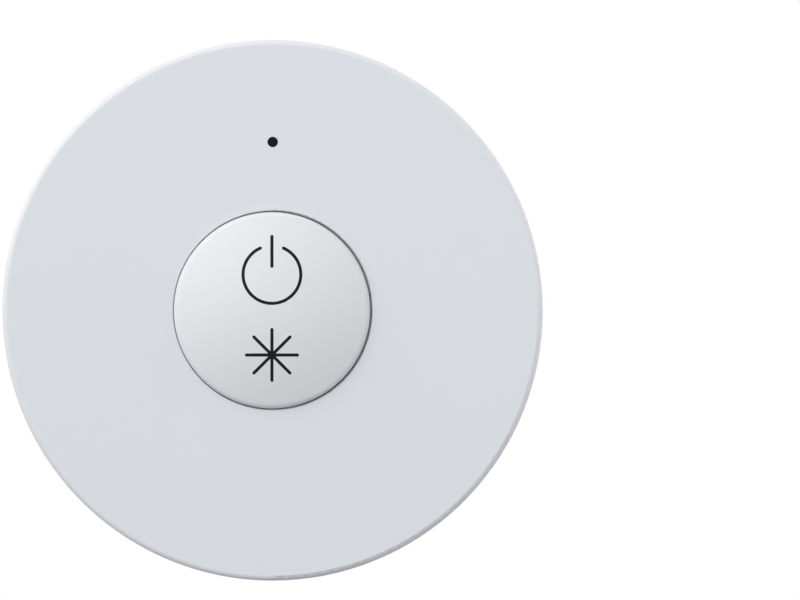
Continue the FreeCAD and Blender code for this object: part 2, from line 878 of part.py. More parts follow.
def all_pieces():
    symbols = power_symbol()
    star = dimmer_symbol()
    tact_body, tact_plate, tact_plunger, tact_leads = tact_switch()
    pair_body, pair_plate, pair_plunger, pair_leads = pairing_switch()
    housing_screw = screw(housing_screw_radius, housing_screw_head_radius, housing_screw_head_height,
                          housing_screw_length)
    housing_screw.translate(Vector(0, 0, screw_seat_z))
    board_screw = screw(board_screw_radius, board_screw_head_radius, board_screw_head_height,
                        board_screw_length)
    board_screw.translate(Vector(0, 0, board_z))
    passives = [on_front(passive_length, passive_width, passive_height, passive_circle, angle)
                for angle in passive_angles]
    return {
        "front_cover": [front_cover()],
        "indicator_lens": [indicator_lens()],
        "push_button": [push_button(symbols + star)],
        "power_symbol": symbols,
        "dimmer_symbol": star,
        "button_spring": [button_spring()],
        "tact_switch_body": [tact_body],
        "tact_switch_lid": [tact_plate],
        "tact_switch_leads": tact_leads,
        "tact_plunger": [tact_plunger],
        "circuit_board": [circuit_board()],
        "board_screws": spaced(board_screw, board_screw_circle, board_screw_angles),
        "radio_chip": [on_front(radio_size, radio_size, radio_height, radio_circle, radio_angle)],
        "crystal": [on_front(crystal_length, crystal_width, crystal_height, crystal_circle, crystal_angle)],
        "chip_antenna": [on_front(antenna_width, antenna_length, antenna_height, antenna_circle,
                                  antenna_angle)],
        "board_passives": passives,
        "bulk_capacitor": [on_back(capacitor_width, capacitor_length, capacitor_height,
                                   capacitor_circle, capacitor_angle)],
        "indicator_led": [indicator_led()],
        "negative_contact": [negative_contact()],
        "positive_contacts": spaced(positive_clip(), 0, (0, 180)),
        "coin_cell": [coin_cell()],
        "pairing_switch_body": [pair_body],
        "pairing_switch_lid": [pair_plate],
        "pairing_switch_leads": pair_leads,
        "pairing_plunger": [pair_plunger],
        "rear_shell": [rear_shell()],
        "housing_screws": spaced(housing_screw, housing_screw_circle, housing_screw_angles),
        "magnets": magnets(),
        "battery_door": [battery_door()],
        "wall_plate": [wall_plate()],
        "keeper_ring": [keeper_ring()],
        "adhesive_pads": both_pads(0, 0, pad_thickness),
    }


def stand_up(shape):
    turned_shape = shape.copy()
    turned_shape.rotate(Vector(0, 0, 0), Vector(1, 0, 0), 90)
    return turned_shape


os.makedirs("parts", exist_ok=True)
for name, solids in all_pieces().items():
    whole = Part.makeCompound([stand_up(solid) for solid in solids])
    whole.exportStep("parts/" + name + ".step")
    print(name, len(whole.Solids), "solids,", round(whole.Volume, 2), "mm3")
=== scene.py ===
import json
import math

import bpy
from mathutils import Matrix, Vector


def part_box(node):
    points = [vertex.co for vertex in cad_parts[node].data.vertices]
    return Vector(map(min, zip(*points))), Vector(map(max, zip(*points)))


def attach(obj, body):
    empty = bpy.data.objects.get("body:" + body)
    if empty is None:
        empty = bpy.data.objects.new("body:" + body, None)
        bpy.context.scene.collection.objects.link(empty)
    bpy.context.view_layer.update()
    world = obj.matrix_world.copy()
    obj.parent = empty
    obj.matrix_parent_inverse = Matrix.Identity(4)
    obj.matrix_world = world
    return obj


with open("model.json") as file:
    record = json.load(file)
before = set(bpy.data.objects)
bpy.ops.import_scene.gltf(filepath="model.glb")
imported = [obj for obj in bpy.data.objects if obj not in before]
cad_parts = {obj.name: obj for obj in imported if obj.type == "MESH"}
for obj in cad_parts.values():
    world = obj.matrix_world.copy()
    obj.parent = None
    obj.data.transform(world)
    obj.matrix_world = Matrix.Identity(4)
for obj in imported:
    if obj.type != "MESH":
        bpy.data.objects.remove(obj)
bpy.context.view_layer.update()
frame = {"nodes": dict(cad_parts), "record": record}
nodes = frame["nodes"]
print("frame loaded:", len(nodes), "nodes")

mm = 0.001


# Camera: the disc's middle and radius in the 800 x 600 picture set its distance and shift

def placeCamera():
    view = {"width": 800, "height": 600, "discX": 272.7, "discY": 310.3, "discRadius": 270.3,
            "lens": 200.0, "sensor": 36.0, "rimRadius": 0.7 * mm, "clipStart": 0.01}
    low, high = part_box("front_cover")
    edgeDepth = low.y + view["rimRadius"]
    frameWidth = view["width"] * (high.x - low.x) / 2 / view["discRadius"]
    data = bpy.data.cameras.new("frontCamera")
    data.lens = view["lens"]
    data.sensor_width = view["sensor"]
    data.shift_x = (view["width"] / 2 - view["discX"]) / view["width"]
    data.shift_y = (view["discY"] - view["height"] / 2) / view["width"]
    data.clip_start = view["clipStart"]
    camera = bpy.data.objects.new("frontCamera", data)
    camera.location = (0, edgeDepth - frameWidth * view["lens"] / view["sensor"], 0)
    camera.rotation_euler = (math.radians(90), 0, 0)
    bpy.context.scene.collection.objects.link(camera)
    bpy.context.scene.camera = camera


placeCamera()


# Node helpers

def addNode(tree, kind, values=None, **settings):
    # A value that is a socket is linked, any other value is set
    node = tree.nodes.new(kind)
    for name, value in settings.items():
        setattr(node, name, value)
    for socket, value in (values or {}).items():
        if isinstance(value, bpy.types.NodeSocket):
            tree.links.new(value, node.inputs[socket])
        else:
            node.inputs[socket].default_value = value
    return node


def newGroup(name, kind, inputs, outputs):
    tree = bpy.data.node_groups.new(name, kind)
    for label, socketType, default in inputs:
        socket = tree.interface.new_socket(label, in_out="INPUT", socket_type=socketType)
        if default is not None:
            socket.default_value = default
    for label, socketType in outputs:
        tree.interface.new_socket(label, in_out="OUTPUT", socket_type=socketType)
    return tree, tree.nodes.new("NodeGroupInput"), tree.nodes.new("NodeGroupOutput")


def calc(tree, operation, first, second=0.0, third=0.0):
    return addNode(tree, "ShaderNodeMath", {0: first, 1: second, 2: third},
                   operation=operation).outputs[0]


def plainColour(tree, colour):
    node = tree.nodes.new("ShaderNodeRGB")
    node.outputs[0].default_value = colour
    return node.outputs[0]


def mixColour(tree, mask, first, second):
    node = addNode(tree, "ShaderNodeMix", {0: mask, 6: first, 7: second}, data_type="RGBA")
    return node.outputs[2]


def objectPlace(tree):
    return addNode(tree, "ShaderNodeTexCoord").outputs["Object"]


def scaled(tree, vector, size):
    # The vector counted in steps of that size
    share = calc(tree, "DIVIDE", 1.0, size)
    return addNode(tree, "ShaderNodeVectorMath", {0: vector, 3: share}, operation="SCALE").outputs[0]


def noise(tree, vector, detail=2.0, scale=1.0, roughness=0.5):
    return addNode(tree, "ShaderNodeTexNoise", {"Vector": vector, "Scale": scale, "Detail": detail,
                                                "Roughness": roughness}).outputs[0]


def shaded(tree, colour, pattern, spread):
    # The colour made lighter and darker by that share, where the pattern leaves its middle
    swing = calc(tree, "MULTIPLY", calc(tree, "SUBTRACT", pattern, 0.5),
                 calc(tree, "MULTIPLY", spread, 2.0))
    factor = calc(tree, "ADD", swing, 1.0)
    return addNode(tree, "ShaderNodeVectorMath", {0: colour, 3: factor}, operation="SCALE").outputs[0]


def around(tree, base, pattern, spread):
    # The base moved up and down by the pattern, half the spread each way
    return calc(tree, "ADD", base, calc(tree, "MULTIPLY", calc(tree, "SUBTRACT", pattern, 0.5), spread))


floatSocket = "NodeSocketFloat"
colourSocket = "NodeSocketColor"
surfaceOutputs = [("Colour", colourSocket), ("Roughness", floatSocket), ("Height", floatSocket)]


def finishGroup(tree, result, colour, roughness, height):
    tree.links.new(colour, result.inputs["Colour"])
    tree.links.new(roughness, result.inputs["Roughness"])
    tree.links.new(height, result.inputs["Height"])
    return tree


def buildMouldedPlastic():
    # Spark or satin texture of a mould, over slow changes of tone where the melt flowed
    tree, given, result = newGroup("mouldedPlastic", "ShaderNodeTree", [
        ("Colour", colourSocket, (0.7, 0.72, 0.74, 1)), ("Tone Spread", floatSocket, 0.01),
        ("Flow Size", floatSocket, 0.02), ("Grain Size", floatSocket, 0.0001),
        ("Roughness", floatSocket, 0.45), ("Roughness Spread", floatSocket, 0.05)], surfaceOutputs)
    place = objectPlace(tree)
    flow = noise(tree, scaled(tree, place, given.outputs["Flow Size"]), 3.0)
    grain = noise(tree, scaled(tree, place, given.outputs["Grain Size"]), 3.0, 1.0, 0.6)
    colour = shaded(tree, given.outputs["Colour"], flow, given.outputs["Tone Spread"])
    colour = shaded(tree, colour, grain, calc(tree, "MULTIPLY", given.outputs["Tone Spread"], 0.6))
    roughness = around(tree, given.outputs["Roughness"], flow, given.outputs["Roughness Spread"])
    return finishGroup(tree, result, colour, roughness, grain)


def buildRolledMetal():
    # Fine drawn or rolled lines, with a plating that varies in tone
    tree, given, result = newGroup("rolledMetal", "ShaderNodeTree", [
        ("Colour", colourSocket, (0.6, 0.6, 0.6, 1)), ("Tone Spread", floatSocket, 0.08),
        ("Line Length", floatSocket, 0.004), ("Line Width", floatSocket, 0.0001),
        ("Roughness", floatSocket, 0.35), ("Roughness Spread", floatSocket, 0.1)], surfaceOutputs)
    place = objectPlace(tree)
    longShare = calc(tree, "DIVIDE", 1.0, given.outputs["Line Length"])
    fineShare = calc(tree, "DIVIDE", 1.0, given.outputs["Line Width"])
    stretch = addNode(tree, "ShaderNodeCombineXYZ", {0: longShare, 1: fineShare, 2: fineShare}).outputs[0]
    along = addNode(tree, "ShaderNodeVectorMath", {0: place, 1: stretch}, operation="MULTIPLY").outputs[0]
    lines = noise(tree, along, 3.0, 1.0, 0.65)
    clouds = noise(tree, scaled(tree, place, given.outputs["Line Length"]), 2.0)
    colour = shaded(tree, given.outputs["Colour"], lines, given.outputs["Tone Spread"])
    colour = shaded(tree, colour, clouds, given.outputs["Tone Spread"])
    roughness = around(tree, given.outputs["Roughness"], lines, given.outputs["Roughness Spread"])
    return finishGroup(tree, result, colour, roughness, lines)


def buildZincPlating():
    # Crystal facets of a zinc coat, each a little lighter or duller than the next
    tree, given, result = newGroup("zincPlating", "ShaderNodeTree", [
        ("Colour", colourSocket, (0.6, 0.61, 0.63, 1)), ("Tone Spread", floatSocket, 0.1),
        ("Facet Size", floatSocket, 0.0006), ("Roughness", floatSocket, 0.38),
        ("Roughness Spread", floatSocket, 0.16)], surfaceOutputs)
    place = scaled(tree, objectPlace(tree), given.outputs["Facet Size"])
    facets = addNode(tree, "ShaderNodeTexVoronoi", {"Vector": place, "Scale": 1.0})
    tone = addNode(tree, "ShaderNodeSeparateColor", {0: facets.outputs["Color"]}).outputs[0]
    bloom = noise(tree, place, 4.0, 0.25)
    colour = shaded(tree, given.outputs["Colour"], tone, given.outputs["Tone Spread"])
    colour = shaded(tree, colour, bloom, given.outputs["Tone Spread"])
    roughness = around(tree, given.outputs["Roughness"], tone, given.outputs["Roughness Spread"])
    height = calc(tree, "ADD", calc(tree, "MULTIPLY", facets.outputs["Distance"], 0.5), bloom)
    return finishGroup(tree, result, colour, roughness, height)


def buildFiredCeramic():
    # Speckled body of a fired or moulded component
    tree, given, result = newGroup("firedCeramic", "ShaderNodeTree", [
        ("Colour", colourSocket, (0.5, 0.5, 0.5, 1)), ("Speck Colour", colourSocket, (0.2, 0.2, 0.2, 1)),
        ("Speck Share", floatSocket, 0.2), ("Speck Size", floatSocket, 0.00008),
        ("Roughness", floatSocket, 0.5), ("Roughness Spread", floatSocket, 0.1)], surfaceOutputs)
    place = objectPlace(tree)
    specks = noise(tree, scaled(tree, place, given.outputs["Speck Size"]), 4.0, 1.0, 0.7)
    tone = noise(tree, place, 3.0, 900.0)
    edge = calc(tree, "SUBTRACT", 0.75, calc(tree, "MULTIPLY", given.outputs["Speck Share"], 0.5))
    mask = addNode(tree, "ShaderNodeMapRange", {
        0: specks, 1: edge, 2: calc(tree, "ADD", edge, 0.06)}).outputs[0]
    colour = mixColour(tree, mask, given.outputs["Colour"], given.outputs["Speck Colour"])
    colour = shaded(tree, colour, tone, 0.08)
    roughness = around(tree, given.outputs["Roughness"], specks, given.outputs["Roughness Spread"])
    return finishGroup(tree, result, colour, roughness, specks)


def buildHandledSurface():
    # Faint polish and smudges left by fingers, as a change of roughness
    tree, given, result = newGroup("handledSurface", "ShaderNodeTree", [
        ("Roughness", floatSocket, 0.45), ("Amount", floatSocket, 0.06),
        ("Smudge Size", floatSocket, 0.009)], [("Roughness", floatSocket)])
    place = scaled(tree, objectPlace(tree), given.outputs["Smudge Size"])
    smears = addNode(tree, "ShaderNodeTexNoise", {"Vector": place, "Scale": 1.0, "Detail": 4.0,
                                                  "Distortion": 1.2}).outputs[0]
    mask = addNode(tree, "ShaderNodeMapRange", {0: smears, 1: 0.52, 2: 0.7}).outputs[0]
    lower = calc(tree, "MULTIPLY", mask, given.outputs["Amount"])
    tree.links.new(calc(tree, "SUBTRACT", given.outputs["Roughness"], lower), result.inputs["Roughness"])
    return tree


surfaceGroups = {
    "plastic": buildMouldedPlastic(),
    "rolled": buildRolledMetal(),
    "zinc": buildZincPlating(),
    "ceramic": buildFiredCeramic(),
    "handled": buildHandledSurface(),
}
print("surface groups built:", len(surfaceGroups))


# Materials

looks = {}


def startMaterial(slotName, name):
    material = bpy.data.materials.new(name)
    material.use_nodes = True
    tree = material.node_tree
    tree.nodes.clear()
    shader = tree.nodes.new("ShaderNodeBsdfPrincipled")
    output = tree.nodes.new("ShaderNodeOutputMaterial")
    tree.links.new(shader.outputs[0], output.inputs["Surface"])
    looks[slotName] = material
    return tree, shader


def addBump(tree, shader, height, depth):
    bump = addNode(tree, "ShaderNodeBump", {"Height": height, "Strength": 1.0, "Distance": depth})
    tree.links.new(bump.outputs["Normal"], shader.inputs["Normal"])


def useGroup(tree, groupName, values):
    return addNode(tree, "ShaderNodeGroup", values, node_tree=surfaceGroups[groupName]).outputs


def plainSurface(slotName, name, groupName, values, depth, sockets, smudges=0.0):
    # A material that takes its colour, roughness and relief from one group
    tree, shader = startMaterial(slotName, name)
    made = useGroup(tree, groupName, values)
    roughness = made["Roughness"]
    if smudges > 0:
        roughness = useGroup(tree, "handled", {"Roughness": roughness, "Amount": smudges})["Roughness"]
    tree.links.new(made["Colour"], shader.inputs["Base Color"])
    tree.links.new(roughness, shader.inputs["Roughness"])
    addBump(tree, shader, made["Height"], depth)
    for label, value in sockets.items():
        shader.inputs[label].default_value = value


# Plastics: colour, tone spread, grain in mm, relief in mm, roughness, its spread, smudges
plasticFinishes = {
    "cover_plastic": ("satinCover", (0.673, 0.693, 0.722), 0.006, 0.09, 0.0006, 0.50, 0.03, 0.03),
    "button_plastic": ("smoothButton", (0.677, 0.701, 0.723), 0.004, 0.07, 0.0004, 0.42, 0.03, 0.05),
    "symbol_plastic": ("symbolInk", (0.008, 0.011, 0.015), 0.03, 0.08, 0.0006, 0.50, 0.04, 0.0),
    "lens_plastic": ("smokedLens", (0.003, 0.004, 0.005), 0.02, 0.3, 0.0002, 0.30, 0.03, 0.0),
    "rear_plastic": ("sparkedRear", (0.640, 0.668, 0.690), 0.015, 0.16, 0.006, 0.55, 0.06, 0.04),
    "plate_plastic": ("sparkedPlate", (0.615, 0.642, 0.664), 0.018, 0.20, 0.009, 0.58, 0.06, 0.0),
    "switch_plastic": ("blackNylon", (0.030, 0.030, 0.032), 0.05, 0.10, 0.003, 0.52, 0.08, 0.0),
    "plunger_plastic": ("blackPlunger", (0.036, 0.036, 0.038), 0.04, 0.08, 0.002, 0.36, 0.06, 0.0),
    "capacitor_resin": ("mouldedResin", (0.62, 0.30, 0.035), 0.05, 0.07, 0.003, 0.42, 0.08, 0.0),
}
# The two dark slots mirror little of the white room
usualGloss = 0.5
inkGloss = {"symbol_plastic": 0.08, "lens_plastic": 0.08}
for slotName, look in plasticFinishes.items():
    name, colour, toneSpread, grain, relief, rough, roughSpread, smudges = look
    values = {"Colour": (*colour, 1), "Tone Spread": toneSpread, "Grain Size": grain * mm,
              "Roughness": rough, "Roughness Spread": roughSpread}
    gloss = inkGloss.get(slotName, usualGloss)
    plainSurface(slotName, name, "plastic", values, relief * mm,
                 {"IOR": 1.49, "Specular IOR Level": gloss}, smudges)

# Drawn, rolled and stamped metals: colour, tone spread, line length and width in mm, relief, roughness
rolledFinishes = {
    "can_metal": ("satinCan", (0.66, 0.65, 0.62), 0.05, 1.6, 0.05, 0.0010, 0.34, 0.10),
    "lid_steel": ("stampedLid", (0.60, 0.60, 0.60), 0.08, 3.0, 0.04, 0.0012, 0.30, 0.12),
    "lead_metal": ("tinnedLead", (0.68, 0.68, 0.67), 0.06, 0.6, 0.12, 0.0030, 0.36, 0.14),
    "spring_steel": ("drawnWire", (0.50, 0.50, 0.51), 0.10, 0.5, 0.03, 0.0010, 0.28, 0.10),
    "contact_metal": ("nickelContact", (0.70, 0.66, 0.57), 0.05, 2.2, 0.05, 0.0008, 0.27, 0.09),
    "magnet_nickel": ("nickelMagnet", (0.70, 0.68, 0.65), 0.06, 1.6, 0.30, 0.0010, 0.16, 0.10),
}
for slotName, look in rolledFinishes.items():
    name, colour, toneSpread, length, width, relief, rough, roughSpread = look
    values = {"Colour": (*colour, 1), "Tone Spread": toneSpread, "Line Length": length * mm,
              "Line Width": width * mm, "Roughness": rough, "Roughness Spread": roughSpread}
    plainSurface(slotName, name, "rolled", values, relief * mm, {"Metallic": 1.0})

# Zinc plated steel: colour, tone spread, facets in mm, relief, roughness
zincFinishes = {
    "keeper_steel": ("zincKeeper", (0.56, 0.58, 0.61), 0.09, 0.9, 0.0012, 0.38, 0.14),
    "screw_steel": ("zincScrew", (0.62, 0.62, 0.62), 0.07, 0.25, 0.0003, 0.30, 0.12),
}
for slotName, look in zincFinishes.items():
    name, colour, toneSpread, facet, relief, rough, roughSpread = look
    values = {"Colour": (*colour, 1), "Tone Spread": toneSpread, "Facet Size": facet * mm,
              "Roughness": rough, "Roughness Spread": roughSpread}
    plainSurface(slotName, name, "zinc", values, relief * mm, {"Metallic": 1.0})

# Fired and moulded components: colour, speck colour, share and size of the specks, relief, roughness
firedFinishes = {
    "chip_epoxy": ("chipEpoxy", (0.022, 0.022, 0.024), (0.07, 0.07, 0.07),
                   0.45, 0.06, 0.004, 0.62, 0.10),
    "antenna_ceramic": ("antennaCeramic", (0.70, 0.69, 0.64), (0.45, 0.43, 0.38),
                        0.20, 0.09, 0.002, 0.48, 0.10),
    "passive_ceramic": ("passiveCeramic", (0.36, 0.22, 0.11), (0.20, 0.11, 0.05),
                        0.40, 0.05, 0.002, 0.45, 0.10),
}
for slotName, look in firedFinishes.items():
    name, colour, speckColour, share, size, relief, rough, roughSpread = look
    values = {"Colour": (*colour, 1), "Speck Colour": (*speckColour, 1), "Speck Share": share,
              "Speck Size": size * mm, "Roughness": rough, "Roughness Spread": roughSpread}
    plainSurface(slotName, name, "ceramic", values, relief * mm, {"IOR": 1.55})


def makeFoam():
    foam = {"colour": (0.70, 0.70, 0.67, 1), "poreShadeColour": (0.46, 0.46, 0.43, 1), "pore": 0.20 * mm,
            "relief": 0.05 * mm, "roughness": 0.85, "poreEdge": (0.18, 0.55), "grainScale": 14000.0}
    tree, shader = startMaterial("foam", "closedFoam")
    cells = addNode(tree, "ShaderNodeTexVoronoi", {
        "Vector": objectPlace(tree), "Scale": 1 / foam["pore"]}, feature="SMOOTH_F1")
    inner, outer = foam["poreEdge"]
    pores = addNode(tree, "ShaderNodeMapRange", {0: cells.outputs["Distance"], 1: inner, 2: outer})
    fine = noise(tree, objectPlace(tree), 3.0, foam["grainScale"])
    # Pores painted darker than the foam around them: painted shade in the pore hollows
    colour = mixColour(tree, pores.outputs[0], foam["poreShadeColour"], foam["colour"])
    tree.links.new(shaded(tree, colour, fine, 0.05), shader.inputs["Base Color"])
    rough = around(tree, foam["roughness"], fine, 0.12)
    tree.links.new(rough, shader.inputs["Roughness"])
    addBump(tree, shader, pores.outputs[0], foam["relief"])


def makeBoardLaminate():
    # Green mask over copper runs that change direction from patch to patch, and a cut glass-fibre edge
    board = {"mask": (0.012, 0.115, 0.045, 1), "track": (0.035, 0.205, 0.075, 1),
             "fibre": (0.36, 0.33, 0.16, 1), "trackPitch": 0.55 * mm, "patch": 5.0 * mm,
             "trackShare": 0.42, "bareFrom": 0.72, "patchGap": 0.12, "fibreSize": 0.08 * mm,
             "grainScale": 5200.0, "relief": 0.02 * mm, "roughness": 0.28, "edgeRougher": 0.35}
    tree, shader = startMaterial("board_laminate", "greenBoard")
    coordinates = addNode(tree, "ShaderNodeTexCoord")
    place = coordinates.outputs["Object"]
    normal = addNode(tree, "ShaderNodeSeparateXYZ", {0: coordinates.outputs["Normal"]})
    edgeMask = calc(tree, "LESS_THAN", calc(tree, "ABSOLUTE", normal.outputs["Y"]), 0.5)
    patches = addNode(tree, "ShaderNodeTexVoronoi", {"Vector": place, "Scale": 1 / board["patch"]},
                      distance="CHEBYCHEV")
    choice = addNode(tree, "ShaderNodeSeparateColor", {0: patches.outputs["Color"]})
    axes = addNode(tree, "ShaderNodeSeparateXYZ", {0: place})
    across = calc(tree, "GREATER_THAN", choice.outputs[0], 0.5)
    bare = calc(tree, "GREATER_THAN", choice.outputs[1], board["bareFrom"])
    run = addNode(tree, "ShaderNodeMix", {
        0: across, 2: axes.outputs["X"], 3: axes.outputs["Z"]}).outputs[0]
    wave = calc(tree, "FRACT", calc(tree, "DIVIDE", run, board["trackPitch"]))
    track = calc(tree, "LESS_THAN", wave, board["trackShare"])
    ground = calc(tree, "GREATER_THAN", patches.outputs["Distance"], board["patchGap"])
    copper = calc(tree, "MULTIPLY", calc(tree, "MAXIMUM", track, bare), ground)
    grain = noise(tree, place, 3.0, board["grainScale"])
    face = mixColour(tree, copper, board["mask"], board["track"])
    face = shaded(tree, face, grain, 0.08)
    fibres = noise(tree, scaled(tree, place, board["fibreSize"]), 3.0)
    edge = shaded(tree, plainColour(tree, board["fibre"]), fibres, 0.25)
    tree.links.new(mixColour(tree, edgeMask, face, edge), shader.inputs["Base Color"])
    rough = calc(tree, "ADD", around(tree, board["roughness"], grain, 0.08),
                 calc(tree, "MULTIPLY", edgeMask, board["edgeRougher"]))
    tree.links.new(rough, shader.inputs["Roughness"])
    addBump(tree, shader, calc(tree, "ADD", copper, calc(tree, "MULTIPLY", grain, 0.08)), board["relief"])
    shader.inputs["IOR"].default_value = 1.55


def makeLedResin():
    # White base under a clear yellow lens, told apart by the height above the board
    led = {"base": (0.72, 0.71, 0.67, 1), "lens": (0.55, 0.47, 0.10, 1), "baseHeight": 0.35 * mm,
           "fade": 0.02 * mm, "roughness": 0.42, "lensSmoother": 0.22, "relief": 0.001 * mm,
           "grainScale": 9000.0}
    tree, shader = startMaterial("led_resin", "ledResin")
    place = objectPlace(tree)
    depth = addNode(tree, "ShaderNodeSeparateXYZ", {0: place}).outputs["Y"]
    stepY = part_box("indicator_led")[1].y - led["baseHeight"]
    lensMask = addNode(tree, "ShaderNodeMapRange", {
        0: depth, 1: stepY, 2: stepY - led["fade"]}).outputs[0]
    specks = noise(tree, place, 3.0, led["grainScale"])
    colour = shaded(tree, mixColour(tree, lensMask, led["base"], led["lens"]), specks, 0.05)
    tree.links.new(colour, shader.inputs["Base Color"])
    rough = calc(tree, "SUBTRACT", around(tree, led["roughness"], specks, 0.08),
                 calc(tree, "MULTIPLY", lensMask, led["lensSmoother"]))
    tree.links.new(rough, shader.inputs["Roughness"])
    addBump(tree, shader, specks, led["relief"])


def makeCellSteel():
    # Bright can with turning rings round its middle and a grey sealing ring between can and cap
    cell = {"steel": (0.66, 0.66, 0.65, 1), "seal": (0.16, 0.16, 0.15, 1), "capRadius": 8.8 * mm,
            "sealWidth": 0.28 * mm, "sealDepth": 0.6 * mm, "ringPitch": 0.12 * mm,
            "relief": 0.0016 * mm, "roughness": 0.26, "sealRougher": 0.3, "scratchScale": 700.0}
    tree, shader = startMaterial("cell_steel", "stampedCell")
    place = objectPlace(tree)
    axes = addNode(tree, "ShaderNodeSeparateXYZ", {0: place})
    flat = addNode(tree, "ShaderNodeCombineXYZ", {0: axes.outputs["X"], 1: 0.0, 2: axes.outputs["Z"]})
    radius = addNode(tree, "ShaderNodeVectorMath", {0: flat.outputs[0]},
                     operation="LENGTH").outputs["Value"]
    rings = noise(tree, scaled(tree, addNode(tree, "ShaderNodeCombineXYZ", {0: radius}).outputs[0],
                               cell["ringPitch"]), 3.0)
    sealRadius = cell["capRadius"] + cell["sealWidth"] / 2
    nearSeal = calc(tree, "LESS_THAN", calc(tree, "ABSOLUTE", calc(tree, "SUBTRACT", radius, sealRadius)),
                    cell["sealWidth"] / 2)
    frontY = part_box("coin_cell")[0].y + cell["sealDepth"]
    seal = calc(tree, "MULTIPLY", nearSeal, calc(tree, "LESS_THAN", axes.outputs["Y"], frontY))
    scratches = noise(tree, place, 5.0, cell["scratchScale"], 0.75)
    steel = shaded(tree, plainColour(tree, cell["steel"]), rings, 0.06)
    tree.links.new(mixColour(tree, seal, shaded(tree, steel, scratches, 0.05), cell["seal"]),
                   shader.inputs["Base Color"])
    tree.links.new(calc(tree, "SUBTRACT", 1.0, seal), shader.inputs["Metallic"])
    rough = calc(tree, "ADD", around(tree, cell["roughness"], scratches, 0.14),
                 calc(tree, "MULTIPLY", seal, cell["sealRougher"]))
    tree.links.new(rough, shader.inputs["Roughness"])
    addBump(tree, shader, rings, cell["relief"])


makeFoam()
makeBoardLaminate()
makeLedResin()
makeCellSteel()

for part in frame["record"]["subparts"]:
    node = nodes[part["node"]]
    if not node.material_slots:
        node.data.materials.append(None)
    node.material_slots[0].material = looks[part["material_slot"]]
print("materials made:", len(looks))


# Geometry Nodes helpers. Trees draw with x to the right, y up and z out from the wall, as on a bench,
# and turn the result up to the wall at their end

geometryOutput = [("Geometry", "NodeSocketGeometry")]
ringSides = 14
strokeSides = 6


def closeTree(tree, result, geometry, material):
    turned = addNode(tree, "GeometryNodeTransform", {"Geometry": geometry,
                                                     "Rotation": (math.radians(90), 0, 0)})
    real = addNode(tree, "GeometryNodeRealizeInstances", {"Geometry": turned.outputs[0]})
    dressed = addNode(tree, "GeometryNodeSetMaterial", {
        "Geometry": real.outputs[0], "Material": material})
    tree.links.new(dressed.outputs[0], result.inputs[0])
    return tree


def namedPlace(tree, name, kind):
    return addNode(tree, "GeometryNodeInputNamedAttribute", {"Name": name}, data_type=kind).outputs[0]


def onSpots(tree, given, instance, scale):
    # One instance on each spot, turned by the spot's own angles: turned over first, then round
    turn = addNode(tree, "ShaderNodeCombineXYZ", {0: namedPlace(tree, "flip", "FLOAT"),
                                                  2: namedPlace(tree, "turn", "FLOAT")}).outputs[0]
    spread = {"Points": given.outputs["Spots"], "Instance": instance, "Rotation": turn, "Scale": scale}
    return addNode(tree, "GeometryNodeInstanceOnPoints", spread).outputs[0]


def treeInputs(sizes):
    return [("Spots", "NodeSocketGeometry", None)] + [(label, floatSocket, size) for label, size in sizes]


def buildSolderTree(material):
    # Low cone of solder, spread to each spot's own size
    tree, given, result = newGroup("solderJoints", "GeometryNodeTree",
                                   treeInputs([("Peak Share", 0.45)]), geometryOutput)
    cone = addNode(tree, "GeometryNodeMeshCone", {
        "Vertices": ringSides, "Side Segments": 2, "Radius Top": given.outputs["Peak Share"],
        "Radius Bottom": 1.0, "Depth": 1.0})
    joints = onSpots(tree, given, cone.outputs["Mesh"], namedPlace(tree, "size", "FLOAT_VECTOR"))
    return closeTree(tree, result, joints, material)


def buildEndCapTree(material):
    # A plated cap over both ends of each component
    tree, given, result = newGroup("endCaps", "GeometryNodeTree", treeInputs([
        ("Length", 0.0016), ("Width", 0.0008), ("Height", 0.00045), ("Cap", 0.0003), ("Skin", 0.00002)]),
        geometryOutput)
    sizes = given.outputs
    skin = calc(tree, "MULTIPLY", sizes["Skin"], 2.0)
    capSize = addNode(tree, "ShaderNodeCombineXYZ", {
        0: sizes["Cap"], 1: calc(tree, "ADD", sizes["Width"], skin),
        2: calc(tree, "ADD", sizes["Height"], sizes["Skin"])}).outputs[0]
    cap = addNode(tree, "GeometryNodeMeshCube", {"Size": capSize})
    reach = calc(tree, "SUBTRACT", calc(tree, "ADD", sizes["Length"], skin), sizes["Cap"])
    start = addNode(tree, "ShaderNodeCombineXYZ", {
        0: calc(tree, "MULTIPLY", reach, -0.5),
        2: calc(tree, "MULTIPLY", calc(tree, "ADD", sizes["Height"], sizes["Skin"]), 0.5)}).outputs[0]
    step = addNode(tree, "ShaderNodeCombineXYZ", {0: reach}).outputs[0]
    ends = addNode(tree, "GeometryNodeMeshLine", {"Count": 2, "Start Location": start, "Offset": step})
    pair = addNode(tree, "GeometryNodeInstanceOnPoints", {
        "Points": ends.outputs[0], "Instance": cap.outputs[0]})
    caps = onSpots(tree, given, pair.outputs[0], (1, 1, 1))
    return closeTree(tree, result, caps, material)


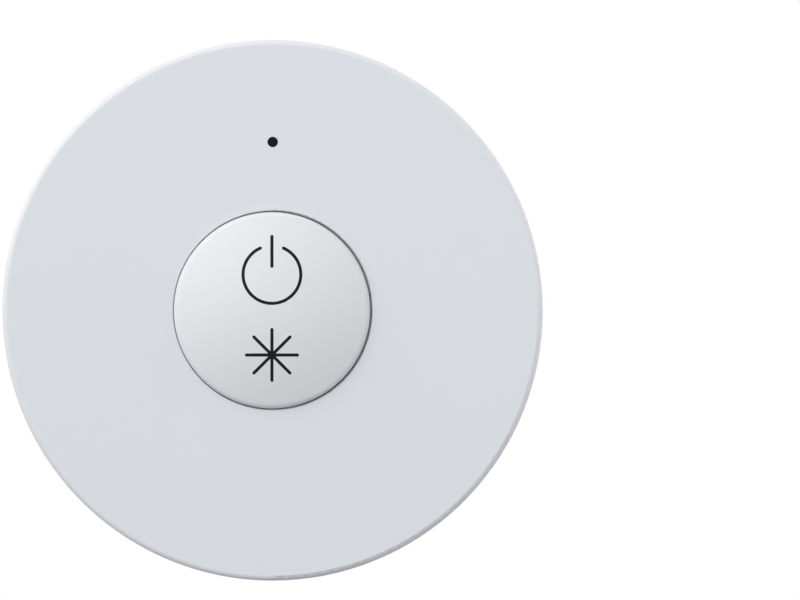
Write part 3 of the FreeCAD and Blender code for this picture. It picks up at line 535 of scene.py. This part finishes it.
def buildLeadRowTree(material):
    # A row of leads along the side that each spot stands on
    tree, given, result = newGroup("leadRows", "GeometryNodeTree", treeInputs([
        ("Count", 8.0), ("Pitch", 0.0005), ("Width", 0.00022), ("Reach", 0.0002), ("Height", 0.00008)]),
        geometryOutput)
    sizes = given.outputs
    lead = addNode(tree, "GeometryNodeMeshCube", {"Size": addNode(tree, "ShaderNodeCombineXYZ", {
        0: sizes["Reach"], 1: sizes["Width"], 2: sizes["Height"]}).outputs[0]})
    count = addNode(tree, "FunctionNodeFloatToInt", {0: sizes["Count"]}).outputs[0]
    span = calc(tree, "MULTIPLY", calc(tree, "SUBTRACT", sizes["Count"], 1.0), sizes["Pitch"])
    start = addNode(tree, "ShaderNodeCombineXYZ", {
        0: calc(tree, "MULTIPLY", sizes["Reach"], 0.5), 1: calc(tree, "MULTIPLY", span, -0.5),
        2: calc(tree, "MULTIPLY", sizes["Height"], 0.5)}).outputs[0]
    step = addNode(tree, "ShaderNodeCombineXYZ", {1: sizes["Pitch"]}).outputs[0]
    row = addNode(tree, "GeometryNodeMeshLine", {"Count": count, "Start Location": start, "Offset": step})
    leads = addNode(tree, "GeometryNodeInstanceOnPoints", {
        "Points": row.outputs[0], "Instance": lead.outputs[0]})
    return closeTree(tree, result, onSpots(tree, given, leads.outputs[0], (1, 1, 1)), material)


def buildViaTree(material):
    # Small plated rings
    tree, given, result = newGroup("platedRings", "GeometryNodeTree",
                                   treeInputs([("Radius", 0.0002), ("Wall", 0.00006)]), geometryOutput)
    ring = addNode(tree, "GeometryNodeCurvePrimitiveCircle", {
        "Resolution": ringSides, "Radius": given.outputs["Radius"]})
    wall = addNode(tree, "GeometryNodeCurvePrimitiveCircle", {
        "Resolution": strokeSides, "Radius": given.outputs["Wall"]})
    tubeMesh = addNode(tree, "GeometryNodeCurveToMesh", {"Curve": ring.outputs[0],
                                                         "Profile Curve": wall.outputs[0]})
    rings = onSpots(tree, given, tubeMesh.outputs[0], namedPlace(tree, "size", "FLOAT_VECTOR"))
    return closeTree(tree, result, rings, material)


def buildOutlineTree(material):
    # Printed frame round each component: a stroke of one width on a rectangle of the spot's own size
    tree, given, result = newGroup("printedFrames", "GeometryNodeTree",
                                   treeInputs([("Stroke", 0.00006)]), geometryOutput)
    frameCurve = addNode(tree, "GeometryNodeCurvePrimitiveQuadrilateral", {"Width": 1.0, "Height": 1.0})
    frames = onSpots(tree, given, frameCurve.outputs[0], namedPlace(tree, "size", "FLOAT_VECTOR"))
    lines = addNode(tree, "GeometryNodeRealizeInstances", {"Geometry": frames})
    stroke = addNode(tree, "GeometryNodeCurvePrimitiveCircle", {
        "Resolution": strokeSides, "Radius": given.outputs["Stroke"]})
    printed = addNode(tree, "GeometryNodeCurveToMesh", {"Curve": lines.outputs[0],
                                                        "Profile Curve": stroke.outputs[0]})
    return closeTree(tree, result, printed.outputs[0], material)


def growPiece(name, tree, sizes, spots, body, flip=0.0):
    # spots: (x, y, height from the wall, turn in degrees, size), all lengths in mm
    mesh = bpy.data.meshes.new(name)
    mesh.from_pydata([(x * mm, y * mm, z * mm) for x, y, z, turn, size in spots], [], [])
    turns = mesh.attributes.new("turn", "FLOAT", "POINT")
    flips = mesh.attributes.new("flip", "FLOAT", "POINT")
    spreads = mesh.attributes.new("size", "FLOAT_VECTOR", "POINT")
    for i, (x, y, z, turn, size) in enumerate(spots):
        turns.data[i].value = math.radians(turn)
        flips.data[i].value = math.radians(flip)
        spreads.data[i].vector = size
    piece = bpy.data.objects.new(name, mesh)
    bpy.context.scene.collection.objects.link(piece)
    modifier = piece.modifiers.new("growth", "NODES")
    modifier.node_group = tree
    for item in tree.interface.items_tree:
        if item.name in sizes:
            modifier[item.identifier] = sizes[item.name]
    graph = bpy.context.evaluated_depsgraph_get()
    grown = bpy.data.meshes.new_from_object(piece.evaluated_get(graph))
    piece.modifiers.remove(modifier)
    piece.data = grown
    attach(piece, body)


def polar(circle, angle):
    turn = math.radians(angle)
    return circle * math.cos(turn), circle * math.sin(turn)


def atPolar(circle, angle, x, y):
    # A point x, y of a component, whose x axis points outwards at that angle
    turn = math.radians(angle)
    return ((circle + x) * math.cos(turn) - y * math.sin(turn),
            (circle + x) * math.sin(turn) + y * math.cos(turn))


# Circuit board: solder, plated rings, end caps, chip leads and printed frames

# Lengths in mm, places from the disc's middle. solder is its reach along, across and out
boardParts = {
    "front": -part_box("circuit_board")[0].y / mm,
    "back": -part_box("circuit_board")[1].y / mm,
    "radio": {"circle": 19.0, "angle": 180.0, "size": 5.0, "leads": 8, "pitch": 0.5,
              "lead": (0.22, 0.24, 0.1), "frame": (6.2, 6.2)},
    "crystal": {"circle": 19.5, "angle": 163.0, "pads": (1.55, 1.0), "solder": (0.35, 0.4, 0.1),
                "frame": (4.3, 3.5)},
    "antenna": {"circle": 22.3, "angle": 212.0, "length": 2.0, "width": 7.0, "height": 1.1,
                "joint": 3.6, "solder": (0.8, 0.35, 0.2), "cap": 0.6},
    "passives": {"circle": 18.5, "angles": (78.0, 138.0, 144.0, 150.0, 194.0, 200.0, 206.0),
                 "length": 1.6, "width": 0.8, "height": 0.45, "joint": 0.98,
                 "solder": (0.3, 0.42, 0.16), "cap": 0.32, "frame": (2.8, 1.5)},
    "capacitor": {"circle": 19.0, "angle": 315.0, "joint": 3.1, "solder": (1.2, 0.4, 0.24),
                  "frame": (4.2, 8.0)},
    "led": {"above": 21.77, "joint": 1.12, "solder": (0.28, 0.5, 0.14), "frame": (3.2, 2.0)},
    "tactKey": {"pads": (4.25, 2.15), "solder": (0.42, 0.5, 0.12), "frame": (10.2, 7.2)},
    "pairingKey": {"circle": 19.0, "angle": 45.0, "pads": (3.25, 1.15), "solder": (0.42, 0.5, 0.12),
                   "frame": (8.2, 5.2)},
    "negativeContact": {"joint": 6.9, "solder": (0.5, 2.1, 0.12), "frame": (16.4, 5.6)},
    "positiveContacts": {"joint": 12.75, "solder": (0.45, 2.1, 0.16)},
    "vias": {"circle": 24.2, "step": 4.0, "radius": 0.17, "wall": 0.05},
    "notches": {"angles": (30.0, 150.0, 270.0), "half": 9.5},
    "screwPads": {"circle": 21.5, "angles": (0.0, 120.0, 240.0), "radius": 1.72, "wall": 0.2,
                  "flat": 0.4},
    "solderFoot": 0.02, "solderPeak": 0.4, "capSkin": 0.02, "stroke": 0.06,
}
plainSize = (1, 1, 1)


def inMm(sizes):
    return tuple(size * mm for size in sizes)


def solderSpots():
    # Each joint stands a little in the board
    parts = boardParts
    tactKey, led, pairing, capacitor = (parts[n] for n in ("tactKey", "led", "pairingKey", "capacitor"))
    passives, crystal, antenna = (parts[n] for n in ("passives", "crystal", "antenna"))
    front = parts["front"] - parts["solderFoot"]
    back = parts["back"] + parts["solderFoot"]
    corners = [(sideX, sideY) for sideX in (-1, 1) for sideY in (-1, 1)]
    padX, padY = tactKey["pads"]
    spots = [(sideX * padX, sideY * padY, front, 0, inMm(tactKey["solder"])) for sideX, sideY in corners]
    for angle in passives["angles"]:
        for side in (-1, 1):
            x, y = atPolar(passives["circle"], angle, side * passives["joint"], 0)
            spots.append((x, y, front, angle, inMm(passives["solder"])))
    padX, padY = crystal["pads"]
    for sideX, sideY in corners:
        x, y = atPolar(crystal["circle"], crystal["angle"], sideX * padX, sideY * padY)
        spots.append((x, y, front, crystal["angle"], inMm(crystal["solder"])))
    for side in (-1, 1):
        x, y = atPolar(antenna["circle"], antenna["angle"], 0, side * antenna["joint"])
        spots.append((x, y, front, antenna["angle"], inMm(antenna["solder"])))
        spots.append((side * led["joint"], led["above"], front, 0, inMm(led["solder"])))
    turned = []
    pairX, pairY = polar(pairing["circle"], pairing["angle"])
    padX, padY = pairing["pads"]
    for sideX in (-1, 1):
        for sideY in (-1, 1):
            turned.append((pairX + sideX * padX, pairY + sideY * padY, back, 0, inMm(pairing["solder"])))
        for name in ("negativeContact", "positiveContacts"):
            turned.append((sideX * parts[name]["joint"], 0, back, 0, inMm(parts[name]["solder"])))
        x, y = atPolar(capacitor["circle"], capacitor["angle"], 0, sideX * capacitor["joint"])
        turned.append((x, y, back, capacitor["angle"], inMm(capacitor["solder"])))
    return spots, turned


def viaSpots(height):
    vias = boardParts["vias"]
    notches = boardParts["notches"]
    spots = []
    for i in range(int(360 / vias["step"])):
        angle = i * vias["step"]
        if all(abs((angle - notch + 180) % 360 - 180) > notches["half"] for notch in notches["angles"]):
            spots.append((*polar(vias["circle"], angle), height, 0, plainSize))
    return spots


def frameSpot(part, angle, height, turn):
    # A printed frame round a part that sits on its circle
    width, depth = part["frame"]
    return (*polar(part["circle"], angle), height, turn, (width * mm, depth * mm, 1))


def middleFrame(part, y, height):
    width, depth = part["frame"]
    return (0, y, height, 0, (width * mm, depth * mm, 1))


def growCaps(name, tree, part, length, width, spots):
    growPiece(name, tree, {
        "Length": length * mm, "Width": width * mm, "Height": part["height"] * mm,
        "Cap": part["cap"] * mm, "Skin": boardParts["capSkin"] * mm}, spots, "switch")


def addBoardDetails():
    parts = boardParts
    front = parts["front"]
    back = parts["back"]
    tinned = looks["lead_metal"]
    solderTree = buildSolderTree(tinned)
    frontSpots, backSpots = solderSpots()
    peak = {"Peak Share": parts["solderPeak"]}
    growPiece("solder_front", solderTree, peak, frontSpots, "switch")
    growPiece("solder_back", solderTree, peak, backSpots, "switch", 180.0)

    # The antenna's caps are on its long ends, so it is turned a quarter and its width is the length here
    capTree = buildEndCapTree(tinned)
    passives = parts["passives"]
    spots = [(*polar(passives["circle"], angle), front, angle, plainSize) for angle in passives["angles"]]
    growCaps("passive_caps", capTree, passives, passives["length"], passives["width"], spots)
    antenna = parts["antenna"]
    spots = [(*polar(antenna["circle"], antenna["angle"]), front, antenna["angle"] + 90, plainSize)]
    growCaps("antenna_caps", capTree, antenna, antenna["width"], antenna["length"], spots)

    radio = parts["radio"]
    centreX, centreY = polar(radio["circle"], radio["angle"])
    rows = []
    for turn in (0, 90, 180, 270):
        x, y = polar(radio["size"] / 2, turn)
        rows.append((centreX + x, centreY + y, front, turn, plainSize))
    reach, width, height = inMm(radio["lead"])
    growPiece("chip_leads", buildLeadRowTree(tinned), {
        "Count": float(radio["leads"]), "Pitch": radio["pitch"] * mm, "Width": width,
        "Reach": reach, "Height": height}, rows, "switch")

    viaTree = buildViaTree(looks["contact_metal"])
    vias = parts["vias"]
    ring = {"Radius": vias["radius"] * mm, "Wall": vias["wall"] * mm}
    growPiece("vias_front", viaTree, ring, viaSpots(front), "switch")
    growPiece("vias_back", viaTree, ring, viaSpots(back), "switch")
    pads = parts["screwPads"]
    ring = {"Radius": pads["radius"] * mm, "Wall": pads["wall"] * mm}
    spots = [(*polar(pads["circle"], angle), back, 0, (1, 1, pads["flat"])) for angle in pads["angles"]]
    growPiece("screw_pads", viaTree, ring, spots, "switch")

    frameTree = buildOutlineTree(looks["legend"])
    stroke = {"Stroke": parts["stroke"] * mm}
    crystal = parts["crystal"]
    lonePassive = passives["angles"][0]
    spots = [frameSpot(radio, radio["angle"], front, 0),
             frameSpot(crystal, crystal["angle"], front, crystal["angle"]),
             middleFrame(parts["tactKey"], 0, front),
             middleFrame(parts["led"], parts["led"]["above"], front),
             frameSpot(passives, lonePassive, front, lonePassive)]
    growPiece("legend_front", frameTree, stroke, spots, "switch")
    capacitor = parts["capacitor"]
    pairing = parts["pairingKey"]
    spots = [frameSpot(capacitor, capacitor["angle"], back, capacitor["angle"]),
             frameSpot(pairing, pairing["angle"], back, 0),
             middleFrame(parts["negativeContact"], 0, back)]
    growPiece("legend_back", frameTree, stroke, spots, "switch")


def makeLegendInk():
    ink = {"colour": (0.72, 0.72, 0.70, 1), "roughness": 0.6, "grain": 0.05 * mm, "relief": 0.002 * mm}
    values = {"Colour": ink["colour"], "Tone Spread": 0.06, "Grain Size": ink["grain"],
              "Roughness": ink["roughness"], "Roughness Spread": 0.1}
    plainSurface("legend", "legendInk", "plastic", values, ink["relief"], {})


makeLegendInk()
addBoardDetails()
print("board details grown")


# Coin cell: a raised plus on the can, which faces the battery door

def addCellMark():
    mark = {"arm": 5.0 * mm, "width": 0.9 * mm, "rise": 0.04 * mm}
    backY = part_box("coin_cell")[1].y
    half = mark["arm"] / 2
    side = mark["width"] / 2
    outline = [(-side, -half), (side, -half), (side, -side), (half, -side), (half, side), (side, side),
               (side, half), (-side, half), (-side, side), (-half, side), (-half, -side), (-side, -side)]
    count = len(outline)
    verts = [(x, backY, z) for x, z in outline] + [(x, backY + mark["rise"], z) for x, z in outline]
    faces = [list(range(count)), list(range(2 * count - 1, count - 1, -1))]
    faces += [(i, count + i, count + (i + 1) % count, (i + 1) % count) for i in range(count)]
    mesh = bpy.data.meshes.new("cell_plus")
    mesh.from_pydata(verts, [], faces)
    mesh.materials.append(looks["cell_steel"])
    piece = bpy.data.objects.new("cell_plus", mesh)
    bpy.context.scene.collection.objects.link(piece)
    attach(piece, "switch")


addCellMark()


# Studio: broad soft boxes in a white room, and a pale floor below the frame

def whiteRays(tree):
    # First the camera's own rays, then these with the mirrored and refracted ones: all see plain white
    paths = tree.nodes.new("ShaderNodeLightPath").outputs
    mirrored = calc(tree, "MAXIMUM", paths["Is Glossy Ray"], paths["Is Transmission Ray"])
    return paths["Is Camera Ray"], calc(tree, "MAXIMUM", paths["Is Camera Ray"], mirrored)


def placeStudio():
    studio = {"boxSpread": 4.0, "floorHeight": -0.08, "floorFront": -1.0, "floorBack": 0.52,
              "floorHalf": 0.9, "floorColour": (0.26, 0.27, 0.28, 1), "floorGlow": 0.74,
              "floorRoughness": 0.9, "floorTone": 0.01, "floorToneScale": 8.0}
    softBoxes = [((-1, -1, 1), 2.6), ((0, -1, 0), 1.3), ((1, 0, 0), 2.3), ((-1, 0, 0), 1.2),
                 ((1, 1, 0), 1.8), ((-0.2, 1, 0.6), 1.1)]
    world = bpy.data.worlds.new("studio")
    world.use_nodes = True
    tree = world.node_tree
    tree.nodes.clear()
    heading = addNode(tree, "ShaderNodeTexCoord").outputs["Generated"]
    level = 0.0
    for direction, power in softBoxes:
        facing = addNode(tree, "ShaderNodeVectorMath", {0: heading, 1: Vector(direction).normalized()},
                         operation="DOT_PRODUCT").outputs["Value"]
        glow = calc(tree, "POWER", calc(tree, "MAXIMUM", facing, 0.0), studio["boxSpread"])
        level = calc(tree, "MULTIPLY_ADD", glow, power, level)
    cameraRay, whiteRay = whiteRays(tree)
    boxLight = calc(tree, "MULTIPLY", level, calc(tree, "SUBTRACT", 1.0, cameraRay))
    room = addNode(tree, "ShaderNodeBackground", {
        "Color": (1, 1, 1, 1), "Strength": calc(tree, "MAXIMUM", boxLight, whiteRay)})
    addNode(tree, "ShaderNodeOutputWorld", {"Surface": room.outputs[0]})
    bpy.context.scene.world = world

    half = studio["floorHalf"]
    mesh = bpy.data.meshes.new("floor")
    corners = [(-half, studio["floorFront"]), (half, studio["floorFront"]),
               (half, studio["floorBack"]), (-half, studio["floorBack"])]
    mesh.from_pydata([(x, y, studio["floorHeight"]) for x, y in corners], [], [(0, 1, 2, 3)])
    floor = bpy.data.objects.new("floor", mesh)
    bpy.context.scene.collection.objects.link(floor)
    tree, shader = startMaterial("floor", "paleFloor")
    tone = noise(tree, objectPlace(tree), 3.0, studio["floorToneScale"])
    colour = shaded(tree, plainColour(tree, studio["floorColour"]), tone, studio["floorTone"])
    tree.links.new(colour, shader.inputs["Base Color"])
    shader.inputs["Roughness"].default_value = studio["floorRoughness"]
    shader.inputs["Specular IOR Level"].default_value = 0.0
    shader.inputs["Emission Color"].default_value = (1, 1, 1, 1)
    glow = calc(tree, "MULTIPLY", whiteRays(tree)[1], studio["floorGlow"])
    tree.links.new(glow, shader.inputs["Emission Strength"])
    mesh.materials.append(looks["floor"])


placeStudio()
bpy.context.scene.view_settings.view_transform = "Standard"
print("studio placed")
